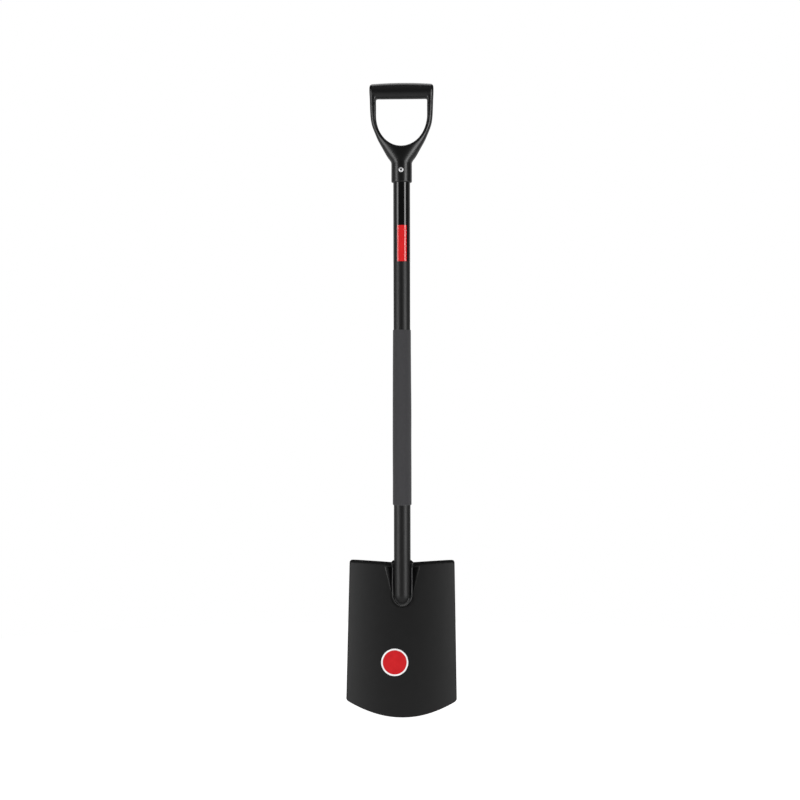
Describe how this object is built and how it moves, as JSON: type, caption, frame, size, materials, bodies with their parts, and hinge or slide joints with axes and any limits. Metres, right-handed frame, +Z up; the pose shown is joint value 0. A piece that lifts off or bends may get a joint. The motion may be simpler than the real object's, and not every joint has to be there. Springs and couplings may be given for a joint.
{
  "type": "digging spade",
  "caption": "Long-handled digging spade: dished steel blade with rolled foot treads, welded tube shaft, foam sleeve and a D-shaped plastic grip held by a blind rivet.",
  "frame": {"origin": "on the shaft's axis, at the middle of the underside of the grip bar, where the spade hangs from a hook or a hand", "axes": "+Z up the shaft from the blade to the grip, -Y the way the blade's hollow front faces, +X to the right seen from the front"},
  "size_m": [0.2104, 0.0591, 1.214],
  "materials": {
    "black_powder_coat": "satin powder coat",
    "coated_weld": "satin powder coat over weld ripples",
    "black_plastic": "fine moulded grain",
    "rivet_aluminium": "bare",
    "mandrel_steel": "broken end",
    "grey_foam": "matt closed-cell foam",
    "printed_film": "gloss film, black with a plain red panel",
    "red_vinyl": "gloss vinyl, red with a white rim"
  },
  "bodies": {
    "root": {"shaft_tube": "black_powder_coat", "blade": "black_powder_coat", "weld_front": "coated_weld", "weld_top": "coated_weld", "handle": "black_plastic", "rivet_body": "rivet_aluminium", "rivet_mandrel": "mandrel_steel", "foam_grip": "grey_foam", "label_film": "printed_film", "blade_sticker": "red_vinyl"}
  },
  "joints": []
}
